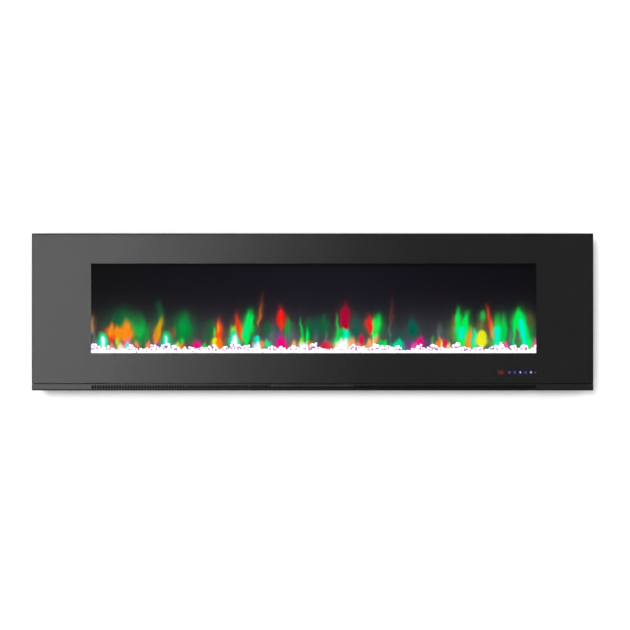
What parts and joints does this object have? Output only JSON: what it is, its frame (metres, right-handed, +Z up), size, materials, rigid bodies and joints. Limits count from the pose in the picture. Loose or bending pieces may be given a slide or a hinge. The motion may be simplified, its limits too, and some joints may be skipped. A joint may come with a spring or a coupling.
{
  "type": "linear electric fireplace",
  "caption": "Wide wall-hung electric fireplace: glass front with a black border, flame window over a crystal bed, touch controls and a slotted warm-air strip.",
  "frame": {"origin": "centre of the wall bracket's four-screw pattern, on its back face, which lies on the wall plane", "axes": "+X to the right as seen from the front, +Y into the wall, +Z up"},
  "size_m": [1.829, 0.14, 0.512],
  "materials": {
    "black_powder_coat": "fine satin powder coat",
    "inner_black": "matt heat-proof black",
    "zinc_steel": "zinc plated",
    "front_glass": "clear toughened glass, polished",
    "glass_print": "black printed layer",
    "outlet_strip": "gloss black paint",
    "clear_acrylic": "smoked diffusing acrylic",
    "tray_acrylic": "clear acrylic",
    "crystals": "faceted clear crystals",
    "mirror_vanes": "bright foil vanes on a plated rod",
    "rubber": "matt",
    "black_plastic": "moulded",
    "white_plastic": "moulded",
    "rocker_plastic": "polished moulding",
    "circuit_board": "solder resist",
    "white_board": "white solder resist",
    "light_guides": "clear moulding, lit from behind",
    "motor_steel": "drawn steel can",
    "duct_steel": "matt heat-proof black",
    "impeller_aluminium": "mill finish",
    "shaft_steel": "ground",
    "heater_fins": "mill finish",
    "heater_ceramic": "unglazed",
    "lead_black": "sleeved leads"
  },
  "bodies": {
    "wall_side": {"wall_bracket": "zinc_steel"},
    "front_panel": {"front_glass": "front_glass", "glass_print": "glass_print", "panel_cleats": "zinc_steel"},
    "flame_rod_left": {"flame_rod_left": "mirror_vanes", "rod_coupling_left": "rubber"},
    "flame_rod_right": {"flame_rod_right": "mirror_vanes", "rod_coupling_right": "rubber"},
    "blower_wheel": {"blower_impeller": "impeller_aluminium", "blower_shaft": "shaft_steel"},
    "rocker": {"rocker_button": "rocker_plastic"},
    "cabinet": {"hanger_rail": "zinc_steel", "wall_spacers": "rubber", "case_screws": "zinc_steel", "cabinet_top": "black_powder_coat", "cabinet_floor": "black_powder_coat", "cabinet_side_left": "black_powder_coat", "cabinet_side_right": "black_powder_coat", "rear_cover": "black_powder_coat", "front_rail_top": "inner_black", "front_rail_bottom": "inner_black", "front_rail_left": "inner_black", "front_rail_right": "inner_black", "vent_strip": "outlet_strip", "rail_cleats": "zinc_steel", "panel_pads": "rubber", "touch_board": "circuit_board", "touch_light_guides": "light_guides", "remote_receiver": "black_plastic", "firebox_side_left": "inner_black", "firebox_side_right": "inner_black", "firebox_ceiling": "inner_black", "component_shelf": "inner_black", "rear_liner": "inner_black", "flame_screen": "clear_acrylic", "ember_tray": "tray_acrylic", "ember_crystals": "crystals", "tray_supports": "black_plastic", "ember_light_strip": "white_board", "flame_light_strip": "white_board", "rod_motors": "motor_steel", "motor_brackets": "zinc_steel", "rod_centre_bearing": "white_plastic", "blower_scroll": "duct_steel", "duct_roof": "duct_steel", "blower_end_plates": "duct_steel", "blower_motor": "motor_steel", "heater_core": "heater_fins", "heater_end_blocks": "heater_ceramic", "thermal_cutout": "black_plastic", "rocker_housing": "black_plastic", "cord_gland": "black_plastic", "power_board": "circuit_board", "board_posts": "white_plastic", "light_driver": "white_plastic", "terminal_block": "white_plastic", "room_sensor": "black_plastic", "mains_leads": "lead_black", "heater_lead": "lead_black", "low_voltage_leads": "lead_black"}
  },
  "joints": [
    {"name": "unit_lift", "type": "slide", "parent": "wall_side", "child": "cabinet", "axis": [0, 0, 1], "range_m": [0, 0.03]},
    {"name": "front_panel_lift", "type": "slide", "parent": "cabinet", "child": "front_panel", "axis": [0, 0, 1], "range_m": [0, 0.52]},
    {"name": "flame_rod_left_spin", "type": "hinge", "parent": "cabinet", "child": "flame_rod_left", "pos_m": [-0.4, -0.045, -0.264], "axis": [1, 0, 0], "continuous": true},
    {"name": "flame_rod_right_spin", "type": "hinge", "parent": "cabinet", "child": "flame_rod_right", "pos_m": [0.4, -0.045, -0.264], "axis": [1, 0, 0], "continuous": true},
    {"name": "blower_spin", "type": "hinge", "parent": "cabinet", "child": "blower_wheel", "pos_m": [0, -0.055, -0.338], "axis": [1, 0, 0], "continuous": true},
    {"name": "power_rocker", "type": "hinge", "parent": "cabinet", "child": "rocker", "pos_m": [0.905, -0.06, -0.3], "axis": [0, 1, 0], "range_deg": [0, 24]}
  ]
}
